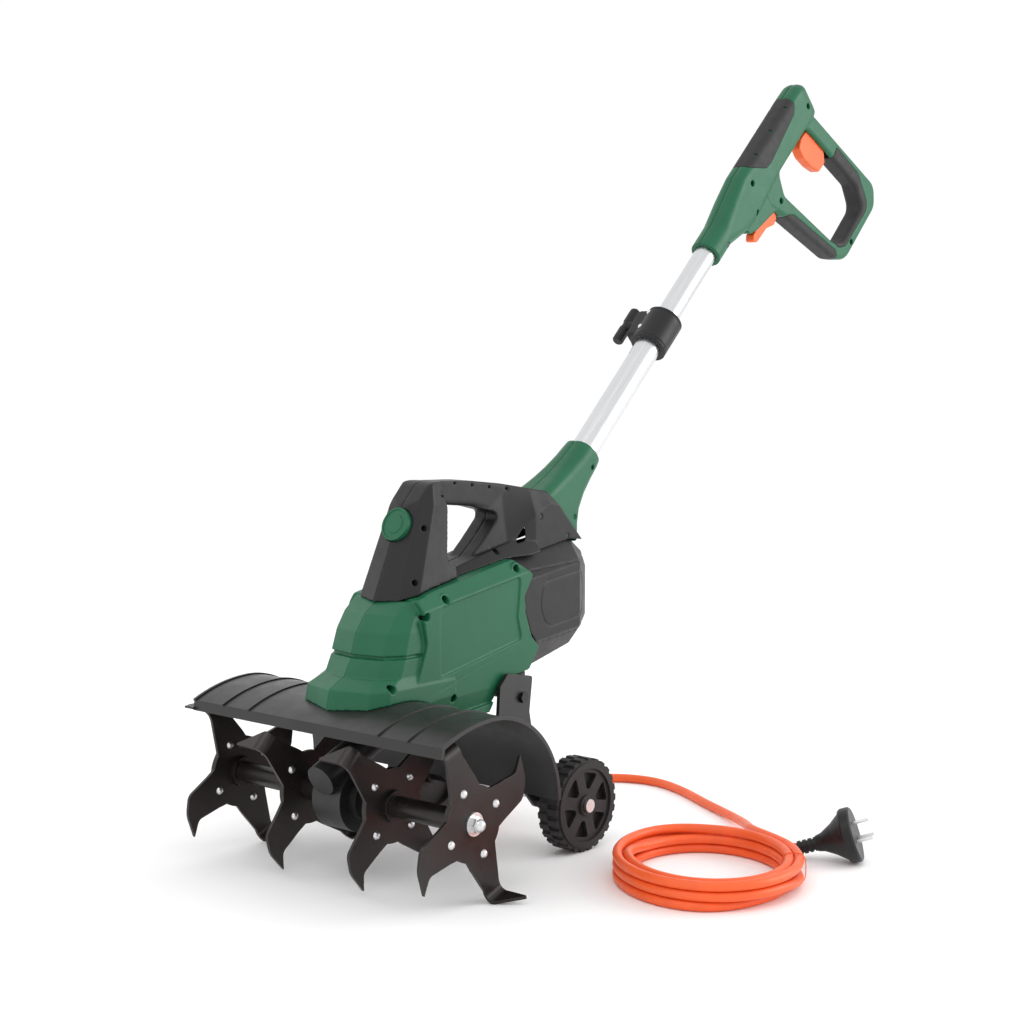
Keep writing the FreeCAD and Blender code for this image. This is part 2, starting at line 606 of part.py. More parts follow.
def handle_controls():
    trigger_centre = pole_point(*TRIGGER_PIVOT)
    lever_centre = pole_point(*LEVER_PIVOT)
    trigger = trigger_shape().cut(cross_pin(trigger_centre.y, trigger_centre.z, 2.0 + RUN, -12, 12))
    trigger = trigger.cut(cross_pin(trigger_centre.y, trigger_centre.z, 5.2, -3, 3))
    lever = lever_shape().cut(cross_pin(lever_centre.y, lever_centre.z, 2.0 + RUN, -12, 12))
    lever = lever.cut(cross_pin(lever_centre.y, lever_centre.z, 5.2, -3, 3))
    keep("trigger", trigger)
    keep("lock_lever", lever)
    pins = []
    springs = []
    for centre in (trigger_centre, lever_centre):
        pins.append(cross_pin(centre.y, centre.z, 2.0, -13, 13))
        coils = [tube_solid(V(-2.6 + 1.3 * k, centre.y, centre.z), X_AXIS, 4.6, 3.3, 1.1) for k in range(4)]
        springs.append(union(coils + [tube_solid(V(-2.6, centre.y, centre.z), X_AXIS, 3.6, 3.3, 5.0)]))
    keep("trigger_pins", group(pins))
    keep("return_springs", group(springs))
    switch = pole_prism([(700, -24, 1), (730, -24, 1), (730, 4, 1), (700, 4, 1)], -9, 9)
    plunger = pole_prism([(712, 4), (724, 4), (724, 10, 2), (712, 10, 2)], -3.5, 3.5)
    keep("switch", union([switch, plunger]))


# ---- guard over the tines -----------------------------------------------------------------------
def tine_guard():
    shell = shield_body(0, SHIELD_HALF).cut(shield_body(SHIELD_T, SHIELD_HALF + 5))
    front_y = -64
    lip = side_prism([(front_y, 201), (front_y + 5, 201), (front_y + 1.5, 188), (front_y - 2, 188)],
                     -SHIELD_HALF, SHIELD_HALF)
    below_lip = Part.makeBox(4 * SHIELD_HALF, SHIELD_T + 4, 96, V(-2 * SHIELD_HALF, front_y - 1, SHIELD_Z - 2))
    shell = shell.cut(below_lip)
    shell = shell.fuse(lip)
    ribs = []
    for x in (112, 160, SHIELD_HALF - 2):
        for side in (-1, 1):
            band = shield_body(-1.6, 2).cut(shield_body(0.5, 4))
            band = band.cut(Part.makeBox(20, 60, 140, V(-10, -110, 60)))
            band.translate(V(side * x, 0, 0))
            ribs.append(band)
    tab = Part.makeBox(16, 14, 2.5, V(-SHIELD_HALF - 12, front_y - 6, 190))
    shell = shell.fuse(ribs + [tab])
    opening = Part.makeBox(2 * 33, 168, 60, V(-33, -8, 165))
    shell = shell.cut(opening)
    keep("tine_guard", shell.removeSplitter())


# ---- gearbox and drive --------------------------------------------------------------------------
def gear_case():
    drum = cross_pin(0, AXLE_Z, 41, -24, 24)
    drum_inside = cross_pin(0, AXLE_Z, 37, -13, 13)
    hubs = cross_pin(0, AXLE_Z, 25, -34, 34)
    bearing_seat = cross_pin(0, AXLE_Z, 21, -40, 40)
    neck = on_worm(-34, 292, 20)
    neck_inside = on_worm(-30, 282, 16)
    flange = on_worm(284, 292, MOTOR_R)
    shape = union([drum, hubs, neck, flange])
    shape = shape.cut([drum_inside, neck_inside, bearing_seat, on_worm(280, 300, 13)])
    left, right = halves(shape)
    keep("gear_case_left", left)
    keep("gear_case_right", right)


def drive_train():
    worm_shaft = union([on_worm(-28, 414, 6.0), on_worm(-18, 22, 7.6), worm_threads()])
    keep("motor_shaft", worm_shaft)
    bars = 24
    core = ring_on_worm(306, 354, 23, 6.0)
    winding_ends = [ring_on_worm(299, 306, 18, 6.0), ring_on_worm(354, 361, 18, 6.0)]
    commutator = ring_on_worm(361, 381, 14, 6.0)
    slots = []
    for index in range(bars):
        angle = 2 * math.pi * index / bars
        slot = Part.makeBox(2.2, 0.8, 19, V(12.6, -0.4, 363))
        slot.rotate(V(0, 0, 0), Z_AXIS, math.degrees(angle))
        slots.append(slot)
    slot_group = Part.makeCompound(slots)
    turn = FreeCAD.Rotation(Z_AXIS, worm_direction())
    slot_group.Placement = FreeCAD.Placement(worm_point(0), turn)
    keep("armature", union([core, commutator.cut(slot_group)] + winding_ends))
    stator = ring_on_worm(300, 360, MOTOR_R, 23.8)
    keep("stator", stator.cut([ring_on_worm(299, 306, 30, 18), ring_on_worm(354, 361, 30, 18)]))
    bracket = union([ring_on_worm(388, 396, MOTOR_R, 13), ring_on_worm(360, 390, MOTOR_R, MOTOR_R - 3)])
    spacer = ring_on_worm(292, 300, MOTOR_R, MOTOR_R - 3)
    keep("motor_end_bracket", group([bracket, spacer]))
    keep("drive_bearings", group([ring_on_worm(-30, -22, 16, 6 + RUN), ring_on_worm(32, 42, 16, 6 + RUN),
                                  ring_on_worm(284, 292, 13, 6 + RUN), ring_on_worm(388, 396, 13, 6 + RUN)]
                                 + [tube_solid(V(x, 0, AXLE_Z), X_AXIS, 21, TINE_SHAFT_R + RUN, 12)
                                    for x in (-26, 14)]))
    brushes = []
    for side in (-1, 1):
        start = worm_point(372, side * 14.4)
        brushes.append(cylinder(start, X_AXIS * side, 4, MOTOR_R - 3.3 - 14.4))
    keep("brushes", group(brushes))
    fan = ring_on_worm(402, 405, 28, 6.0)
    hub = ring_on_worm(402, 411, 10, 6.0)
    blades = []
    for index in range(9):
        blade = Part.makeBox(18, 1.8, 6, V(9, -0.9, 404.5))
        blade.rotate(V(0, 0, 0), Z_AXIS, 360 / 9 * index)
        blade.Placement = FreeCAD.Placement(worm_point(0), turn).multiply(blade.Placement)
        blades.append(blade)
    keep("cooling_fan", union([fan, hub] + blades))
    keep("worm_wheel", worm_wheel())


def worm_threads():
    """Thread of the worm, as five close rings on its barrel."""
    rings = []
    for index in range(-3, 4):
        s = 6.2 * index
        rings.append(Part.makeCone(9.8, 9.2, 1.6, worm_point(s), worm_direction())
                     .fuse(Part.makeCone(7.4, 9.8, 1.4, worm_point(s - 1.4), worm_direction())))
    return union(rings)


def worm_wheel():
    tip = WORM_CENTRES - 10.4
    root = tip - 3.4
    points = []
    for index in range(WHEEL_TEETH):
        for fraction, radius in ((0.0, root), (0.18, tip), (0.42, tip), (0.6, root)):
            angle = 2 * math.pi * (index + fraction) / WHEEL_TEETH
            points.append(V(-10, radius * math.cos(angle), AXLE_Z + radius * math.sin(angle)))
    ring = Part.Face(Part.makePolygon(points + [points[0]])).extrude(V(20, 0, 0))
    hub = cross_pin(0, AXLE_Z, 17, -12, 12)
    lightening = [cross_pin(24 * math.cos(k * math.pi / 3), AXLE_Z + 24 * math.sin(k * math.pi / 3), 4, -20, 20)
                  for k in range(6)]
    return union([ring, hub]).cut(lightening + [cross_pin(0, AXLE_Z, TINE_SHAFT_R, -20, 20)])


def tine_axle():
    keep("tine_shaft", cross_pin(0, AXLE_Z, TINE_SHAFT_R, -TINE_X_OUTER - 5, TINE_X_OUTER + 5))
    keep("axle_seals", group([tube_solid(V(x, 0, AXLE_Z), X_AXIS, 21, TINE_SHAFT_R + RUN, 5) for x in (-33.5, 28.5)]))
    hubs = []
    for side in (-1, 1):
        inner = TINE_X_INNER + TINE_PLATE
        sleeve = tube_solid(V(side * inner, 0, AXLE_Z), X_AXIS * side, SLEEVE_R, TINE_SHAFT_R, TINE_X_OUTER - inner)
        collars = [tube_solid(V(side * (inner + offset), 0, AXLE_Z), X_AXIS * side, SLEEVE_FLANGE_R, TINE_SHAFT_R, 7)
                   for offset in (0, TINE_X_OUTER - inner - 7)]
        stub = tube_solid(V(side * 38, 0, AXLE_Z), X_AXIS * side, SLEEVE_FLANGE_R - 3, TINE_SHAFT_R, TINE_X_INNER - 38)
        hubs += [union([sleeve] + collars), stub]
    return hubs


# ---- tines --------------------------------------------------------------------------------------
def polar(radius, degrees, x):
    a = math.radians(degrees)
    return V(x, radius * math.cos(a), AXLE_Z + radius * math.sin(a))


def arm_frame(degrees):
    a = math.radians(degrees)
    radial = V(0, math.cos(a), math.sin(a))
    around = V(0, -math.sin(a), math.cos(a))
    return radial, around


def hook_arm(degrees, x):
    """Flat arm that ends in a hooked point."""
    radial, around = arm_frame(degrees)
    centre = V(x, 0, AXLE_Z)

    def at(u, v):
        return centre + radial * u + around * v

    corners = [(20, -30, 0), (50, -24, 12), (86, -19, 14), (99, 2, 30), (101, 33, 0), (86, 17, 10), (52, 22, 12),
               (20, 29, 0)]
    wire = rounded_wire([at(u, v) for u, v, _ in corners], [r for _, _, r in corners], True)
    return Part.Face(wire).extrude(V(TINE_PLATE, 0, 0))


def foot_arm(degrees, x, side):
    """Arm whose end is bent over sideways into a pointed foot."""
    radial, around = arm_frame(degrees)
    base = V(x, 0, AXLE_Z)

    def at(u, v, across=0):
        return base + radial * u + around * v + X_AXIS * across

    shank = Part.Face(Part.makePolygon([at(20, -30), at(50, -23), at(86, -12), at(86, 14), at(50, 22), at(20, 29),
                                        at(20, -30)])).extrude(V(TINE_PLATE, 0, 0))
    near = TINE_PLATE if side > 0 else 0
    far = 0 if side > 0 else TINE_PLATE
    bend = 9.0
    outer_u = TINE_R - 3
    inner_u = outer_u - TINE_PLATE
    k = math.sqrt(0.5)
    root = outer_u - bend - TINE_PLATE
    tip = 38.0
    outer_mid = at(root + (bend + TINE_PLATE) * k, 0, near + side * bend - side * (bend + TINE_PLATE) * k)
    inner_mid = at(root + bend * k, 0, near + side * bend - side * bend * k)
    edges = [Part.LineSegment(at(80, 0, far), at(root, 0, far)).toShape(),
             Part.Arc(at(root, 0, far), outer_mid, at(outer_u, 0, near + side * bend)).toShape(),
             Part.LineSegment(at(outer_u, 0, near + side * bend), at(outer_u, 0, near + side * tip)).toShape(),
             Part.LineSegment(at(outer_u, 0, near + side * tip), at(inner_u, 0, near + side * tip)).toShape(),
             Part.LineSegment(at(inner_u, 0, near + side * tip), at(inner_u, 0, near + side * bend)).toShape(),
             Part.Arc(at(inner_u, 0, near + side * bend), inner_mid, at(root, 0, near)).toShape(),
             Part.LineSegment(at(root, 0, near), at(80, 0, near)).toShape(),
             Part.LineSegment(at(80, 0, near), at(80, 0, far)).toShape()]
    face = Part.Face(Part.Wire(edges))
    face.translate(around * -12)
    blade = face.extrude(around * 26)
    low = 70

    def across(u, v, a):
        return at(u, v, near + side * a)

    pointed = Part.Face(Part.makePolygon([across(low, -13, 4), across(low, 12, 38.5), across(low, -13, 45),
                                          across(low, -13, 4)])).extrude(radial * 50)
    return shank.fuse(blade.cut(pointed))


def tine_plate(x, phase):
    disc = cross_pin(0, AXLE_Z, 46, x, x + TINE_PLATE)
    arms = [hook_arm(phase, x), foot_arm(phase + 90, x, -1), hook_arm(phase + 180, x), foot_arm(phase + 270, x, 1)]
    plate = union([disc] + arms)
    holes = [cross_pin(0, AXLE_Z, TINE_SHAFT_R, x - 5, x + 10)]
    for index in range(4):
        centre = polar(BOLT_CIRCLE_R, phase + 3 + 90 * index, x)
        holes.append(cross_pin(centre.y, centre.z, 3.0, x - 5, x + 10))
    return plate.cut(holes)


def tine_bolt(x, phase, index):
    """Dome head on the right of the plate, nut on its left."""
    centre = polar(BOLT_CIRCLE_R, phase + 3 + 90 * index, x)
    head_x = x + TINE_PLATE
    dome = Part.makeSphere(5.6, V(head_x - 1.6, centre.y, centre.z))
    dome = dome.common(cross_pin(centre.y, centre.z, 6, head_x, head_x + 6))
    shank = cross_pin(centre.y, centre.z, 3.0, x - 9.5, head_x + 1)
    nut = hexagon(centre.y, centre.z, 5.0, x - 8, x - 3)
    return union([dome, shank, nut])


def hexagon(y, z, half_flats, x0, x1):
    radius = half_flats / math.cos(math.pi / 6)
    points = [V(x0, y + radius * math.cos(k * math.pi / 3), z + radius * math.sin(k * math.pi / 3)) for k in range(6)]
    return Part.Face(Part.makePolygon(points + [points[0]])).extrude(V(x1 - x0, 0, 0))


TINE_PHASES = {"outer_left": 24.0, "inner_left": 46.0, "inner_right": 44.0, "outer_right": 21.0}


def tines(hubs):
    places = {"outer_left": -TINE_X_OUTER - TINE_PLATE, "inner_left": -TINE_X_INNER - TINE_PLATE,
              "inner_right": TINE_X_INNER, "outer_right": TINE_X_OUTER}
    bolts = []
    for name, x in places.items():
        phase = TINE_PHASES[name]
        keep("tine_" + name, tine_plate(x, phase))
        disc = tube_solid(V(x - 3, 0, AXLE_Z), X_AXIS, 46, SLEEVE_FLANGE_R + 0.5, 3)
        holes = []
        for index in range(4):
            centre = polar(BOLT_CIRCLE_R, phase + 3 + 90 * index, x)
            holes.append(cross_pin(centre.y, centre.z, 3.0, x - 5, x + 2))
            bolts.append(tine_bolt(x, phase, index))
        hubs.append(disc.cut(holes))
    keep("tine_bolts", group(bolts))
    keep("tine_hubs", group(hubs))
    ends = []
    for side in (-1, 1):
        face = side * (TINE_X_OUTER + 5)
        inner = side * (TINE_X_OUTER + TINE_PLATE)
        washer = tube_solid(V(inner, 0, AXLE_Z), X_AXIS * side, 14, TINE_SHAFT_R, 1)
        cap = cylinder(V(face, 0, AXLE_Z), X_AXIS * side, 14, 1.5)
        nut = hexagon(0, AXLE_Z, 8.5, min(face + side * 1.5, face + side * 8), max(face + side * 1.5, face + side * 8))
        dome = Part.makeSphere(8.0, V(face + side * 7, 0, AXLE_Z))
        dome = dome.common(cylinder(V(face + side * 8, 0, AXLE_Z), X_AXIS * side, 9, 8))
        ends.append(union([washer, cap, nut, dome]))
    keep("axle_end_nuts", group(ends))


# ---- transport wheels ---------------------------------------------------------------------------
ARM_OUTLINE = [(193, 216, 4), (208, 231, 4), (256, 222, 4), (250, 176, 10), (262, 120, 30), (292, 74, 8),
               (290, 50, 12), (264, 46, 12), (214, 104, 30), (190, 176, 14)]


def wheel_frame():
    arms = []
    for side in (-1, 1):
        x0, x1 = sorted((side * ARM_X, side * (ARM_X + ARM_T)))
        arm = side_prism(ARM_OUTLINE, x0, x1)
        arm = arm.cut([cross_pin(WHEEL_Y, WHEEL_R, WHEEL_AXLE_R, x0 - 1, x1 + 1),
                       cross_pin(PIVOT_Y, PIVOT_Z, 5 + RUN, x0 - 1, x1 + 1)])
        arms.append(arm)
    keep("wheel_arms", group(arms))
    axle = cross_pin(WHEEL_Y, WHEEL_R, WHEEL_AXLE_R, -WHEEL_OUT - 3, WHEEL_OUT + 3)
    keep("wheel_axle", axle)
    spacers = [tube_solid(V(side * (ARM_X + ARM_T), WHEEL_Y, WHEEL_R), X_AXIS * side, 9, WHEEL_AXLE_R,
                          WHEEL_IN - ARM_X - ARM_T - 1) for side in (-1, 1)]
    keep("axle_spacers", group(spacers))
    caps = []
    for side in (-1, 1):
        ring = cylinder(V(side * (WHEEL_OUT + 0.5), WHEEL_Y, WHEEL_R), X_AXIS * side, 8.5, 4)
        hollow = cylinder(V(side * (WHEEL_OUT + 0.4), WHEEL_Y, WHEEL_R), X_AXIS * side, WHEEL_AXLE_R, 2.6)
        caps.append(ring.cut(hollow))
    keep("hub_caps", group(caps))


def tread_ring(x0, x1, offset):
    lugs = 26
    points = []
    for index in range(lugs):
        for fraction, radius in ((0.0, 57.6), (0.12, WHEEL_R), (0.62, WHEEL_R), (0.74, 57.6)):
            angle = 2 * math.pi * (index + fraction - 0.37 + offset) / lugs - math.pi / 2
            points.append(V(x0, WHEEL_Y + radius * math.cos(angle), WHEEL_R + radius * math.sin(angle)))
    return Part.Face(Part.makePolygon(points + [points[0]])).extrude(V(x1 - x0, 0, 0))


def wheel(side):
    middle = (WHEEL_IN + WHEEL_OUT) / 2
    tyre = union([tread_ring(WHEEL_IN + 2, middle, 0.0), tread_ring(middle, WHEEL_OUT - 2, 0.5),
                  cross_pin(WHEEL_Y, WHEEL_R, 55, WHEEL_IN, WHEEL_OUT)])
    recess = cross_pin(WHEEL_Y, WHEEL_R, 47.5, WHEEL_OUT - 3, WHEEL_OUT + 2)
    hub = cross_pin(WHEEL_Y, WHEEL_R, 13.5, WHEEL_OUT - 4, WHEEL_OUT)
    rear_recess = tube_solid(V(WHEEL_IN - 1, WHEEL_Y, WHEEL_R), X_AXIS, 47, 14, 12)
    wedges = []
    for index in range(6):
        middle_angle = 60 * index + 17
        corners = []
        for radius, half in ((21, 8), (44, 19.5), (44, -19.5), (21, -8)):
            a = math.radians(middle_angle + half)
            corners.append(V(WHEEL_OUT - 11, WHEEL_Y + radius * math.cos(a), WHEEL_R + radius * math.sin(a)))
        outline = rounded_wire(corners, [1.5, 3, 3, 1.5], True)
        wedges.append(Part.Face(outline).extrude(V(15, 0, 0)))
    solid = tyre.cut([recess.cut(hub), rear_recess] + wedges)
    solid = solid.cut(cross_pin(WHEEL_Y, WHEEL_R, WHEEL_AXLE_R + RUN, WHEEL_IN - 5, WHEEL_OUT + 5))
    if side < 0:
        solid = solid.mirror(V(0, 0, 0), X_AXIS)
    return solid


def wheel_bracket():
    """Steel bracket under the body that carries the swing pin of the wheel frame."""
    plate = Part.makeBox(128, 40, 4, V(-64, 214, 0))
    plate.rotate(V(0, 208, 0), X_AXIS, 8.75)
    plate.translate(V(0, 0, 216.4))
    lugs = []
    for side in (-1, 1):
        x0, x1 = sorted((side * 60, side * 66))
        lug = side_prism([(218, 222), (252, 227), (248, 196, 10), (236, 184, 12), (224, 196, 10)], x0, x1)
        lugs.append(lug)
    bracket = union([plate] + lugs)
    bracket = bracket.cut([side_prism(BODY_OUTLINE, -80, 80), cover_loft(0), cross_pin(PIVOT_Y, PIVOT_Z, 5, -80, 80)])
    keep("wheel_bracket", bracket)
    pin = union([cross_pin(PIVOT_Y, PIVOT_Z, 5, -78, 78), hexagon(PIVOT_Y, PIVOT_Z, 6.5, 75.5, 80),
                 hexagon(PIVOT_Y, PIVOT_Z, 6.5, -80, -75.5)])
    keep("wheel_pivot_pin", pin)


# ---- small parts --------------------------------------------------------------------------------
def fasteners():
    screws = []
    for y, z in BODY_SCREWS:
        screws.append(cross_pin(y, z, 4.4, BODY_HALF - 16, BODY_HALF - 13)
                      .fuse(cross_pin(y, z, 2.0, BODY_HALF - 41, BODY_HALF - 16)))
    for y, z, surface in UPPER_SCREWS:
        screws.append(cross_pin(y, z, 3.2, surface - 12, surface - 9))
    keep("housing_screws", group([screw.removeSplitter() for screw in screws]))
    handle_screws = []
    for t, n, surface in HANDLE_SCREWS:
        centre = pole_point(t, n)
        handle_screws.append(cross_pin(centre.y, centre.z, 4.0, surface - 9, surface - 6.5))
    keep("handle_screws", group(handle_screws))
    keep("badge_cap", badge_cap())


# ---- mains cord ---------------------------------------------------------------------------------
GLAND_Y = 200.0
GLAND_LOW = 165.0
CORD_ROUTE = [(0, 200, 165), (0, 200, 125), (-6, 213, 80), (-20, 244, 38), (-38, 284, 12), (-62, 328, 6.2),
              (-92, 368, 6.2), (-114, 418, 6.2), (-118, 474, 6.2), (-104, 528, 6.2), (-74, 578, 6.2),
              (-34, 610, 6.2), (14, 617, 6.2), (70, 597, 6.2), (130, 562, 6.2), (190, 530, 7), (238, 496, 11),
              (276, 455, 20), (306, 417, 28), (338, 397, 30), (372, 386, 30)]
TAIL_ROUTE = [(302, 396.5, 18.4), (340, 402, 16), (375, 424, 14)]
COIL_X = 340.0
COIL_Y = 274.0
COIL_ANGLE = 41.0
COIL_LONG = 139.0
COIL_SHORT = 116.0
COIL_WIDTH = 26.0
COIL_HEIGHT = 36.0
PLUG_TILT = (0.852, 0.426, 0.312)


def cord_tube(route, name):
    """Tube along straight runs joined by arcs as large as the two runs beside each corner allow."""
    points = [V(*p) for p in route]
    radii = [0.0]
    for i in range(1, len(points) - 1):
        before = points[i] - points[i - 1]
        after = points[i + 1] - points[i]
        turn = before.getAngle(after)
        radii.append(0.45 * min(before.Length, after.Length) / math.tan(turn / 2))
    radii.append(0.0)
    path = rounded_wire(points, radii, False)
    start = Part.Wire(Part.makeCircle(CORD_R, points[0], points[1] - points[0]))
    tube = outward(path.makePipeShell([start], True, True))
    print(name, "corner radii", [round(r) for r in radii[1:-1]])
    print(name, "length", round(path.Length, 1), "volume over section times length",
          round(tube.Volume / (math.pi * CORD_R ** 2 * path.Length), 4))
    keep(name, tube)


def coil_oval(long_half, short_half):
    angle = math.radians(COIL_ANGLE)
    centre = V(COIL_X, COIL_Y, 0)
    long_end = centre + V(-math.sin(angle), math.cos(angle), 0) * long_half
    short_end = centre + V(math.cos(angle), math.sin(angle), 0) * short_half
    outline = Part.Ellipse(long_end, short_end, centre).toShape()
    return Part.Face(Part.Wire(outline)).extrude(V(0, 0, COIL_HEIGHT))


def mains_cord():
    gland = union([Part.makeCone(7.5, 10, 40, V(0, GLAND_Y, GLAND_LOW), Z_AXIS),
                   cylinder(V(0, GLAND_Y, GLAND_LOW + 40), Z_AXIS, 10, 5.5)])
    rings = [tube_solid(V(0, GLAND_Y, GLAND_LOW + 5 + 6 * k), Z_AXIS, 12, 7.6 + 0.35 * k, 2.2) for k in range(5)]
    gland = gland.cut(rings)
    keep("cord_gland", gland)
    cord_tube(CORD_ROUTE, "cord_run")
    cord_tube(TAIL_ROUTE, "cord_tail")
    ring = coil_oval(COIL_LONG, COIL_SHORT).cut(coil_oval(COIL_LONG - COIL_WIDTH, COIL_SHORT - COIL_WIDTH))
    keep("cord_coil", ring.makeFillet(5.5, [e for e in ring.Edges if e.BoundBox.ZLength < 0.01]))
    plug()


def plug():
    """Moulded plug lying on its rim, with a ribbed sleeve round the cord and three flat pins."""
    start = V(*TAIL_ROUTE[-1])
    axis = V(*PLUG_TILT).normalize()
    sleeve = 26.0
    cone = 34.0
    rim = 15.0
    rim_r = 35.0
    relief = cylinder(start, axis, 9, sleeve)
    rings = [tube_solid(start + axis * (4 + 7 * k), axis, 12, 7.2, 3) for k in range(4)]
    side = Z_AXIS.cross(axis).normalize()
    across = axis.cross(side)
    outline = [(sleeve - 2, 0), (sleeve - 2, 10), (sleeve + 6, 12), (sleeve + 20, 20), (sleeve + cone - 1, 30),
               (sleeve + cone, rim_r - 2), (sleeve + cone + 3, rim_r), (sleeve + cone + rim - 2, rim_r),
               (sleeve + cone + rim, rim_r - 2), (sleeve + cone + rim, 0)]
    outline.append(outline[0])
    face = Part.Face(Part.makePolygon([start + axis * along + across * radius for along, radius in outline]))
    bell = face.revolve(start, axis, 360)
    body = union([relief.cut(rings), outward(bell)])
    front = start + axis * (sleeve + cone + rim)
    pins = []
    for u, w in ((0, 14), (-9.5, -7.5), (9.5, -7.5)):
        base = front + side * u + across * w
        pins.append(union([cylinder(base - axis * 6, axis, 1.8, 9), cylinder(base + axis * 2, axis, 2.2, 18)]))
    keep("plug_body", body.cut(pins + [NODES["cord_tail"]]))
    keep("plug_pins", group(pins))


# ---- assembly -----------------------------------------------------------------------------------
def build():
    body_shells()
    upper_shells()
    motor_cover()
    boot_shells()
    telescopic_pole()
    pole_clamp()
    clamp_knob()
    handle()
    handle_controls()
    tine_guard()
    gear_case()
    drive_train()
    tines(tine_axle())
    wheel_frame()
    keep("wheel_left", wheel(-1))
    keep("wheel_right", wheel(1))
    wheel_bracket()
    fasteners()
    mains_cord()


def export():
    os.makedirs("parts", exist_ok=True)
    for name, shape in NODES.items():
        moved = shape.copy()
        moved.translate(V(0, -ORIGIN_Y, 0))
        moved.exportStep(os.path.join("parts", name + ".step"))
        box = moved.BoundBox
        print("%-22s solids %2d valid %s volume %9.0f  x %6.1f %6.1f  y %6.1f %6.1f  z %6.1f %6.1f" % (
            name, len(moved.Solids), moved.isValid(), moved.Volume, box.XMin, box.XMax, box.YMin, box.YMax,
            box.ZMin, box.ZMax))


build()
export()
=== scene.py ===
"""Electric garden tiller: looks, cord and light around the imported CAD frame. Metres, row frame."""

import json
import math

import bpy
from mathutils import Matrix, Vector

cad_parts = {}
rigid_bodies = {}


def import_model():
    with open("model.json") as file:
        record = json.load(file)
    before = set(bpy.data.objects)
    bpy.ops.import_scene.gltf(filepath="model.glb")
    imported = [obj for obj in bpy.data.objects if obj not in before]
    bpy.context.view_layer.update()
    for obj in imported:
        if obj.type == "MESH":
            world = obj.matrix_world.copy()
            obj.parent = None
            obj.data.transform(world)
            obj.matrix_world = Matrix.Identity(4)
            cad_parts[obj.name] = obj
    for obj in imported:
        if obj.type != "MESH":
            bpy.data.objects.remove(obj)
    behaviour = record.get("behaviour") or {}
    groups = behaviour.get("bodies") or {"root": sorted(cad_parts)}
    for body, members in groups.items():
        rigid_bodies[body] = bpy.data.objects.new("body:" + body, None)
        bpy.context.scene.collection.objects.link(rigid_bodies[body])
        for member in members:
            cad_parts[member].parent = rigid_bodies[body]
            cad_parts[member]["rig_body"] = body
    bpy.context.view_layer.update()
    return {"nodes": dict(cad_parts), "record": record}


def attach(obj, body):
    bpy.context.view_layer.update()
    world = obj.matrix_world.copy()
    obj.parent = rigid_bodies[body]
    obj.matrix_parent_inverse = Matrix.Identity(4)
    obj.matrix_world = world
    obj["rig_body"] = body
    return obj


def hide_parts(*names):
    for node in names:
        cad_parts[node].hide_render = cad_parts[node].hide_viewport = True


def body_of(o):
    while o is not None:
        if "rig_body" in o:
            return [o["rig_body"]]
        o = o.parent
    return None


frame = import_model()
nodes = frame["nodes"]

ORIGIN_Y = 0.555          # tine axle to the row frame's origin, as in the CAD
CORD_D = 0.012
POLE_SLOPE = math.radians(44.1)

CAMERA_AZIMUTH = math.radians(41.0)
CAMERA_ELEVATION = math.radians(5.541)
CAMERA_PLACE = (1.6452, -1.5907 - ORIGIN_Y, 0.6699)
SENSOR_MM = 36.0
LENS_MM = 66.8


# ---- camera -------------------------------------------------------------------------------------
def make_camera():
    level = math.cos(CAMERA_ELEVATION)
    back = Vector((math.sin(CAMERA_AZIMUTH) * level, -math.cos(CAMERA_AZIMUTH) * level,
                   math.sin(CAMERA_ELEVATION)))
    right = Vector((math.cos(CAMERA_AZIMUTH), math.sin(CAMERA_AZIMUTH), 0.0))
    up = back.cross(right)
    data = bpy.data.cameras.new("camera")
    data.sensor_width = SENSOR_MM
    data.lens = LENS_MM
    data.clip_end = 50.0
    camera = bpy.data.objects.new("camera", data)
    bpy.context.scene.collection.objects.link(camera)
    rotation = Matrix((right, up, back)).transposed().to_4x4()
    camera.matrix_world = Matrix.Translation(CAMERA_PLACE) @ rotation
    bpy.context.scene.camera = camera


# ---- cord, in the CAD's millimetres ---------------------------------------------------------------
RUN_ROUTE = [(0, 200, 165), (0, 200, 125), (-6, 213, 80), (-20, 244, 38), (-38, 284, 12), (-62, 328, 6.2),
             (-92, 368, 6.2), (-114, 418, 6.2), (-118, 474, 6.2), (-104, 528, 6.2), (-74, 578, 6.2),
             (-34, 610, 6.2), (14, 617, 6.2), (70, 597, 6.2), (130, 562, 6.2), (190, 530, 7), (238, 496, 11),
             (276, 455, 20), (306, 417, 28)]
TAIL_ROUTE = [(340, 402, 16), (375, 424, 14)]
COIL_CENTRE = (340.0, 274.0)
COIL_ANGLE = math.radians(41.0)
COIL_HALVES = (110.0, 133.0)      # half the oval's short and long way, to the outer turn's middle
COIL_SWELL = 1.006                # the NURBS line runs this much inside its points
COIL_START = 50.0         # degrees round the coil where the run joins its top turn
COIL_END = 1788.0         # degrees wound from there to where the tail leaves
POINTS_PER_TURN = 24
INNER_INSET = 13.0        # inset of an inner turn, where the turns wander most
# degrees wound, inset from the outer turn, height: the cord climbs or drops between the pairs
COIL_LEVELS = [(0, 0.0, 30.6), (285, 0.0, 30.6), (340, 13.6, 30.6), (585, 13.6, 30.6), (640, 12.8, 18.4),
               (885, 12.8, 18.4), (940, 13.0, 6.2), (1185, 13.0, 6.2), (1240, 0.0, 6.2), (1485, 0.0, 6.2),
               (1540, 0.0, 18.4), (1800, 0.0, 18.4)]


# the wire tie, in the CAD's millimetres: a loop round the coil's section
TIE_OUT = 104.0           # from the coil's middle
TIE_MIDDLE_Z = 18.4
TIE_HALF_WIDTH = 14.6
TIE_HALF_HEIGHT = 18.9
TIE_CLEAR = 1.0           # its lowest point above the floor


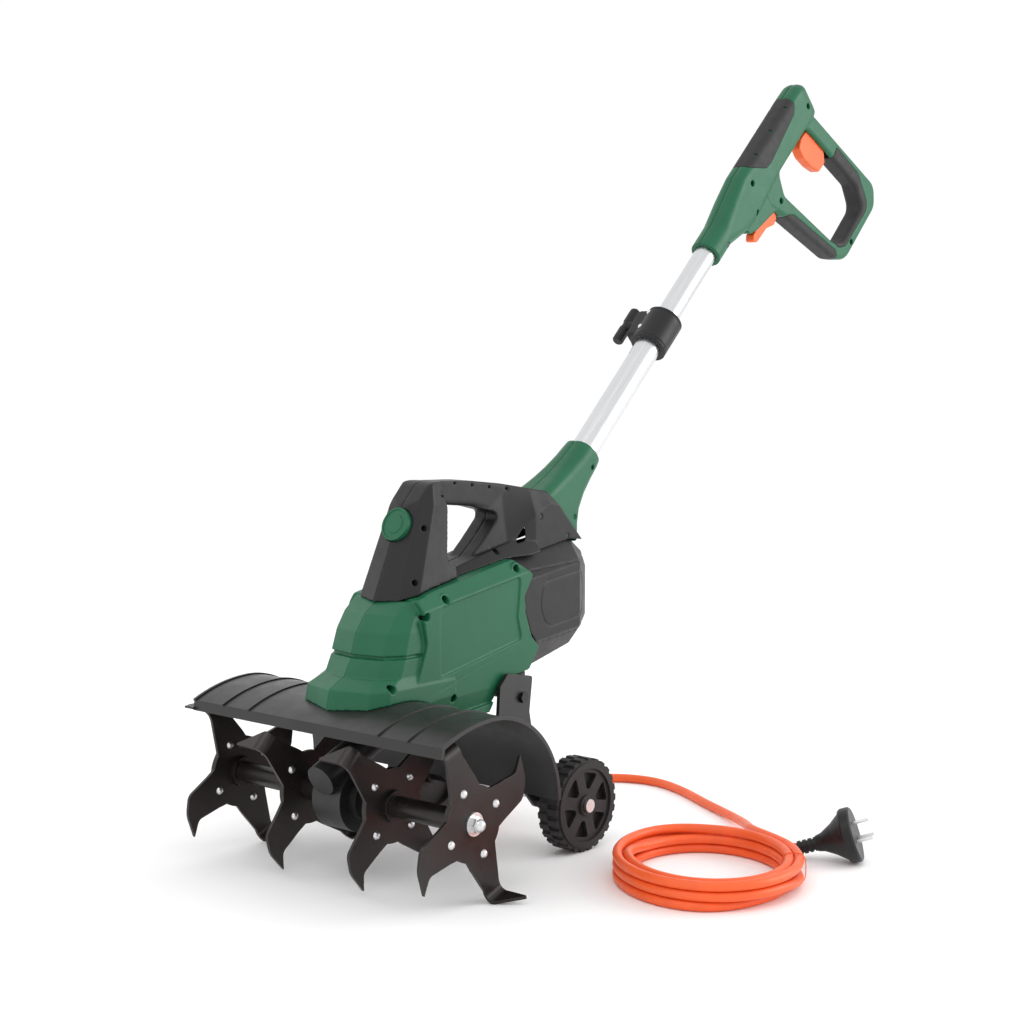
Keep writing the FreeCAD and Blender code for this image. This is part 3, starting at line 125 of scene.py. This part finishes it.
def coil_level(wound):
    """Inset and height of the cord after so many degrees of winding."""
    for (w0, inset0, z0), (w1, inset1, z1) in zip(COIL_LEVELS, COIL_LEVELS[1:]):
        if wound <= w1:
            t = (wound - w0) / (w1 - w0)
            t = t * t * (3 - 2 * t)
            return inset0 + (inset1 - inset0) * t, z0 + (z1 - z0) * t
    return COIL_LEVELS[-1][1:]


def coil_points():
    """The coil's turns, clockwise from above, on an oval that is longer away from the camera."""
    points = []
    count = int(COIL_END / 360 * POINTS_PER_TURN)
    for index in range(1, count + 1):
        wound = COIL_END * index / count
        inset, height = coil_level(wound)
        angle = math.radians(COIL_START - wound)
        wander = 0.5 * math.sin(2 * angle + 0.7) + inset / INNER_INSET * 1.6 * math.sin(angle + wound / 190)
        short_half, long_half = [(half - inset + wander) * COIL_SWELL for half in COIL_HALVES]
        along = short_half * math.cos(angle)
        away = long_half * math.sin(angle)
        points.append((COIL_CENTRE[0] + along * math.cos(COIL_ANGLE) - away * math.sin(COIL_ANGLE),
                       COIL_CENTRE[1] + along * math.sin(COIL_ANGLE) + away * math.cos(COIL_ANGLE), height))
    return points


def row_point(point):
    """The row frame's point, in metres, for one in the CAD's millimetres from the tine axle."""
    return Vector((point[0] / 1000, point[1] / 1000 - ORIGIN_Y, point[2] / 1000))


def nurbs_tube(name, points, radius):
    """A round tube along the smooth line that has these control points."""
    data = bpy.data.curves.new(name, "CURVE")
    data.dimensions = "3D"
    data.bevel_depth = radius
    data.bevel_resolution = 5
    data.resolution_u = 6
    data.use_fill_caps = True
    spline = data.splines.new("NURBS")
    spline.points.add(len(points) - 1)
    for slot, point in zip(spline.points, points):
        slot.co = (*point, 1.0)
    spline.order_u = 3
    spline.use_endpoint_u = True
    piece = bpy.data.objects.new(name, data)
    bpy.context.scene.collection.objects.link(piece)
    return piece


def make_cord():
    route = [row_point(p) for p in RUN_ROUTE + coil_points() + TAIL_ROUTE]
    cord = nurbs_tube("mains_cord", route, CORD_D / 2)
    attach(cord, "chassis")
    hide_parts("cord_run", "cord_coil", "cord_tail")
    return cord


def squared(value):
    """A sine or cosine pushed towards its ends, so that a loop made of them has fuller corners."""
    return math.copysign(abs(value) ** 0.6, value)


def make_tie():
    """Thin twisted wire that holds the coil's turns together at its right-hand end."""
    points = []
    angle = COIL_ANGLE + math.radians(-8)
    direction = Vector((math.cos(angle), math.sin(angle), 0))
    middle = Vector((*COIL_CENTRE, TIE_MIDDLE_Z)) + direction * TIE_OUT
    steps = 26
    for index in range(steps + 1):
        turn = 2 * math.pi * index / steps + math.pi / 2
        reach = TIE_HALF_WIDTH * squared(math.cos(turn))
        rise = max(TIE_HALF_HEIGHT * squared(math.sin(turn)), -TIE_MIDDLE_Z + TIE_CLEAR)
        points.append(middle + direction * reach + Vector((0, 0, rise)))
    points.append(points[-1] + Vector((-4, 3, 3)))
    points.append(points[-1] + Vector((-9, 4, 1)))
    tie = nurbs_tube("coil_tie", [row_point(p) for p in points], 0.0006)
    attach(tie, "chassis")
    return tie


make_camera()
cord = make_cord()
tie = make_tie()


# ---- materials ----------------------------------------------------------------------------------
class Shader:
    """A Principled material whose colour, roughness and bump come from procedural textures."""

    def __init__(self, name, colour, roughness, metallic=0.0, specular=0.5):
        self.material = bpy.data.materials.new(name)
        self.material.use_nodes = True
        self.tree = self.material.node_tree
        self.shader = self.tree.nodes["Principled BSDF"]
        self.shader.inputs["Metallic"].default_value = metallic
        self.shader.inputs["Specular IOR Level"].default_value = specular
        self.colour = colour
        self.roughness = roughness
        self.place = self.add("ShaderNodeTexCoord").outputs["Object"]
        self.normal = None

    def add(self, kind, **settings):
        node = self.tree.nodes.new(kind)
        for key, value in settings.items():
            setattr(node, key, value)
        return node

    def link(self, source, target):
        self.tree.links.new(source, target)

    def stretched(self, scale):
        mapping = self.add("ShaderNodeMapping")
        mapping.inputs["Scale"].default_value = scale
        self.link(self.place, mapping.inputs["Vector"])
        return mapping.outputs["Vector"]

    def noise(self, scale, detail=3.0, rough=0.55, vector=None):
        node = self.add("ShaderNodeTexNoise")
        node.inputs["Scale"].default_value = scale
        node.inputs["Detail"].default_value = detail
        node.inputs["Roughness"].default_value = rough
        self.link(vector or self.place, node.inputs["Vector"])
        return node.outputs["Fac"]

    def remap(self, source, low, high, out_low, out_high):
        node = self.add("ShaderNodeMapRange")
        node.inputs["From Min"].default_value = low
        node.inputs["From Max"].default_value = high
        node.inputs["To Min"].default_value = out_low
        node.inputs["To Max"].default_value = out_high
        self.link(source, node.inputs["Value"])
        return node.outputs["Result"]

    def tint(self, source, change, wear=None, wear_colour=None):
        """Colour that drifts by the change either way, and shows the wear colour where wear is 1."""
        ramp = self.add("ShaderNodeValToRGB")
        ramp.color_ramp.elements[0].position = 0.3
        ramp.color_ramp.elements[1].position = 0.7
        ramp.color_ramp.elements[0].color = (*[c * (1 - change) for c in self.colour], 1)
        ramp.color_ramp.elements[1].color = (*[min(1.0, c * (1 + change)) for c in self.colour], 1)
        self.link(source, ramp.inputs["Fac"])
        colour = ramp.outputs["Color"]
        if wear is not None:
            mix = self.add("ShaderNodeMix", data_type="RGBA")
            near, far = [socket for socket in mix.inputs if socket.type == "RGBA"]
            self.link(colour, near)
            far.default_value = (*wear_colour, 1)
            self.link(wear, mix.inputs["Factor"])
            colour = [socket for socket in mix.outputs if socket.type == "RGBA"][0]
        self.link(colour, self.shader.inputs["Base Color"])

    def rough(self, source, change):
        self.link(self.remap(source, 0.3, 0.7, self.roughness - change, self.roughness + change),
                  self.shader.inputs["Roughness"])

    def bevel(self, radius):
        node = self.add("ShaderNodeBevel", samples=6)
        node.inputs["Radius"].default_value = radius
        self.normal = node.outputs["Normal"]

    def edge_mask(self, radius, low=0.75, high=0.97):
        """1 on sharp edges, 0 on flats."""
        bevel = self.add("ShaderNodeBevel", samples=4)
        bevel.inputs["Radius"].default_value = radius
        geometry = self.add("ShaderNodeNewGeometry")
        dot = self.add("ShaderNodeVectorMath", operation="DOT_PRODUCT")
        self.link(bevel.outputs["Normal"], dot.inputs[0])
        self.link(geometry.outputs["Normal"], dot.inputs[1])
        return self.remap(dot.outputs["Value"], low, high, 1.0, 0.0)

    def bump(self, source, strength, distance):
        node = self.add("ShaderNodeBump")
        node.inputs["Strength"].default_value = strength
        node.inputs["Distance"].default_value = distance
        self.link(source, node.inputs["Height"])
        if self.normal is not None:
            self.link(self.normal, node.inputs["Normal"])
        self.normal = node.outputs["Normal"]

    def done(self):
        if self.normal is not None:
            self.link(self.normal, self.shader.inputs["Normal"])
        return self.material


def moulded_plastic(name, colour, roughness, grain=1400, depth=0.00006):
    """Injection-moulded plastic: fine spark-eroded grain, slow drift in tone, softened edges."""
    s = Shader(name, colour, roughness, specular=0.3)
    s.tint(s.noise(22, 4), 0.05)
    s.rough(s.noise(60, 5), 0.05)
    s.bevel(0.0008)
    s.bump(s.noise(9, 2), 0.25, 0.0006)
    s.bump(s.noise(grain, 2), 0.35, depth)
    return s.done()


def soft_rubber(name, colour, roughness):
    """Soft grip moulding: matt, with a fine pebbled surface."""
    s = Shader(name, colour, roughness, specular=0.35)
    s.tint(s.noise(30, 4), 0.10)
    s.rough(s.noise(90, 4), 0.06)
    s.bevel(0.0006)
    pebble = s.add("ShaderNodeTexVoronoi", feature="SMOOTH_F1")
    pebble.inputs["Scale"].default_value = 900
    s.link(s.place, pebble.inputs["Vector"])
    s.bump(pebble.outputs["Distance"], 0.5, 0.0002)
    return s.done()


def powder_coat(name, colour, roughness, wear_colour, metallic=0.0, wear=0.35):
    """Coated steel whose edges are worn through in patches."""
    s = Shader(name, colour, roughness, metallic=metallic)
    edge = s.edge_mask(0.0008)
    patchy = s.add("ShaderNodeMath", operation="MULTIPLY")
    s.link(edge, patchy.inputs[0])
    s.link(s.remap(s.noise(70, 5), 0.35, 0.7, 0.0, wear), patchy.inputs[1])
    s.tint(s.noise(14, 5), 0.22, patchy.outputs["Value"], wear_colour)
    s.rough(s.noise(45, 5), 0.07)
    s.bevel(0.0005)
    s.bump(s.noise(420, 2), 0.25, 0.0001)
    return s.done()


def turned_metal(name, colour, roughness, stretch=(1, 1, 1)):
    """Bright metal with fine scratches, finer along the axes where the stretch is large."""
    s = Shader(name, colour, roughness, metallic=1.0)
    lay = s.noise(400, 4, 0.6, s.stretched(stretch))
    s.tint(lay, 0.07)
    s.rough(s.noise(50, 4), 0.06)
    s.bevel(0.0004)
    s.bump(lay, 0.10, 0.00006)
    return s.done()


def pole_metal(name):
    """Anodised tube: lengthwise drawing marks that follow the pole's slope."""
    s = Shader(name, (0.66, 0.67, 0.68), 0.28, metallic=1.0)
    turn = s.add("ShaderNodeMapping", vector_type="TEXTURE")
    turn.inputs["Rotation"].default_value = (POLE_SLOPE, 0, 0)
    s.link(s.place, turn.inputs["Vector"])
    squeeze = s.add("ShaderNodeMapping")
    squeeze.inputs["Scale"].default_value = (1, 0.02, 1)
    s.link(turn.outputs["Vector"], squeeze.inputs["Vector"])
    lines = s.noise(700, 4, 0.6, squeeze.outputs["Vector"])
    s.tint(lines, 0.05)
    s.rough(lines, 0.07)
    s.bevel(0.0004)
    s.bump(lines, 0.12, 0.00005)
    return s.done()


def cord_sheath(name):
    """Satin cable sheath with slight unevenness along it."""
    s = Shader(name, (0.86, 0.115, 0.022), 0.42, specular=0.45)
    s.tint(s.noise(35, 4), 0.06)
    s.rough(s.noise(120, 4), 0.07)
    s.bump(s.noise(160, 3), 0.15, 0.0002)
    s.bump(s.noise(1500, 2), 0.2, 0.00004)
    return s.done()


MATERIALS = {
    "green_plastic": moulded_plastic("green_plastic", (0.011, 0.108, 0.050), 0.38),
    "dark_plastic": moulded_plastic("dark_plastic", (0.013, 0.0125, 0.013), 0.44, grain=1100, depth=0.0001),
    "black_plastic": moulded_plastic("black_plastic", (0.012, 0.012, 0.013), 0.42),
    "wheel_plastic": moulded_plastic("wheel_plastic", (0.019, 0.017, 0.0175), 0.52, grain=900, depth=0.0001),
    "orange_plastic": moulded_plastic("orange_plastic", (0.86, 0.13, 0.03), 0.34),
    "soft_grip": soft_rubber("soft_grip", (0.024, 0.023, 0.0235), 0.62),
    "cord_sheath": cord_sheath("cord_sheath"),
    "tube_metal": pole_metal("tube_metal"),
    "black_steel": powder_coat("black_steel", (0.014, 0.013, 0.013), 0.36, (0.10, 0.095, 0.09)),
    "tine_steel": powder_coat("tine_steel", (0.020, 0.016, 0.015), 0.33, (0.22, 0.20, 0.19), 0.35, 0.6),
    "bright_steel": turned_metal("bright_steel", (0.70, 0.70, 0.71), 0.36),
    "black_bolt": turned_metal("black_bolt", (0.05, 0.05, 0.052), 0.38),
    "cast_case": powder_coat("cast_case", (0.012, 0.011, 0.012), 0.45, (0.06, 0.06, 0.06)),
    "bronze": turned_metal("bronze", (0.55, 0.36, 0.15), 0.32),
    "copper_iron": turned_metal("copper_iron", (0.42, 0.20, 0.11), 0.40, (1, 8, 8)),
    "carbon": moulded_plastic("carbon", (0.03, 0.03, 0.03), 0.6),
}
OWN_FINISH = {
    # nodes whose finish differs from their slot's
    "tine_outer_left": "tine_steel", "tine_inner_left": "tine_steel", "tine_inner_right": "tine_steel",
    "tine_outer_right": "tine_steel", "tine_hubs": "tine_steel", "wheel_pivot_pin": "black_bolt",
}


def give(piece, material):
    piece.data.materials.clear()
    piece.data.materials.append(material)


def dress_nodes():
    """Gives every CAD node its material, and returns the record's slot of each."""
    slots = {s["node"]: s["material_slot"] for s in frame["record"]["subparts"]}
    for name, node in nodes.items():
        give(node, MATERIALS[OWN_FINISH.get(name, slots[name])])
    return slots


# ---- moulded shells with real rounded edges -------------------------------------------------------
SOFTENED = {
    # node: (voxel size in mm, smoothing passes)
    "body_shell_left": (1.1, 4), "body_shell_right": (1.1, 4),
    "upper_housing_left": (1.2, 7), "upper_housing_right": (1.2, 7),
    "motor_cover_left": (1.1, 4), "motor_cover_right": (1.1, 4),
    "boot_left": (1.2, 5), "boot_right": (1.2, 5),
    "handle_shell_left": (1.1, 6), "handle_shell_right": (1.1, 6),
    "grip_pad": (0.9, 5), "loop_pads": (0.9, 5), "trigger": (0.7, 5), "lock_lever": (0.7, 5),
    "pole_clamp": (0.8, 3), "clamp_knob": (0.7, 3),
}


def soften(name, voxel, passes, slot_name):
    """A copy of a CAD moulding whose edges are rounded in its mesh."""
    source = nodes[name]
    copy = bpy.data.objects.new(name + "_moulded", source.data.copy())
    bpy.context.scene.collection.objects.link(copy)
    remesh = copy.modifiers.new("remesh", "REMESH")
    remesh.mode = "VOXEL"
    remesh.voxel_size = voxel / 1000
    remesh.use_smooth_shade = True
    smooth = copy.modifiers.new("smooth", "SMOOTH")
    smooth.factor = 0.5
    smooth.iterations = passes
    graph = bpy.context.evaluated_depsgraph_get()
    mesh = bpy.data.meshes.new_from_object(copy.evaluated_get(graph))
    copy.modifiers.clear()
    copy.data = mesh
    give(copy, MATERIALS[slot_name])
    for polygon in mesh.polygons:
        polygon.use_smooth = True
    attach(copy, body_of(source)[0])
    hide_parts(name)
    return copy


slots = dress_nodes()
give(cord, MATERIALS["cord_sheath"])
give(tie, MATERIALS["cord_sheath"])
for node_name, (voxel, passes) in SOFTENED.items():
    soften(node_name, voxel, passes, slots[node_name])


# ---- floor and light ------------------------------------------------------------------------------
FLOOR_REACH = 12.0
FLOOR_TONE = 0.985
WORLD_STRENGTH = 1.03             # with the floor's tone, the far floor is as white as the background
LIGHT_TARGET = (0.0, 0.0, 0.45)
# name, place, size in metres, watts
LIGHTS = [
    ("right_key", (2.7, 2.3, 1.5), 2.6, 62),
    ("front_top", (0.4, -2.4, 3.4), 2.6, 20),
    ("left_fill", (-3.0, -1.0, 1.8), 2.4, 8),
]


def make_floor():
    mesh = bpy.data.meshes.new("floor")
    corners = [(x * FLOOR_REACH, y * FLOOR_REACH, 0.0) for x, y in ((-1, -1), (1, -1), (1, 1), (-1, 1))]
    mesh.from_pydata(corners, [], [(0, 1, 2, 3)])
    floor = bpy.data.objects.new("floor", mesh)
    bpy.context.scene.collection.objects.link(floor)
    s = Shader("floor", (FLOOR_TONE,) * 3, 0.7, specular=0.2)
    s.tint(s.noise(2, 2), 0.01)
    s.rough(s.noise(8, 3), 0.03)
    floor.data.materials.append(s.done())


def area_light(name, place, size, power):
    data = bpy.data.lights.new(name, "AREA")
    data.shape = "DISK"
    data.size = size
    data.energy = power
    light = bpy.data.objects.new(name, data)
    bpy.context.scene.collection.objects.link(light)
    light.location = place
    light.rotation_euler = (Vector(LIGHT_TARGET) - Vector(place)).to_track_quat("-Z", "Y").to_euler()


def make_light():
    world = bpy.data.worlds.new("studio")
    bpy.context.scene.world = world
    world.use_nodes = True
    background = world.node_tree.nodes["Background"]
    background.inputs["Color"].default_value = (1.0, 1.0, 1.0, 1.0)
    background.inputs["Strength"].default_value = WORLD_STRENGTH
    bpy.context.scene.view_settings.view_transform = "Standard"
    for light in LIGHTS:
        area_light(*light)


make_floor()
make_light()
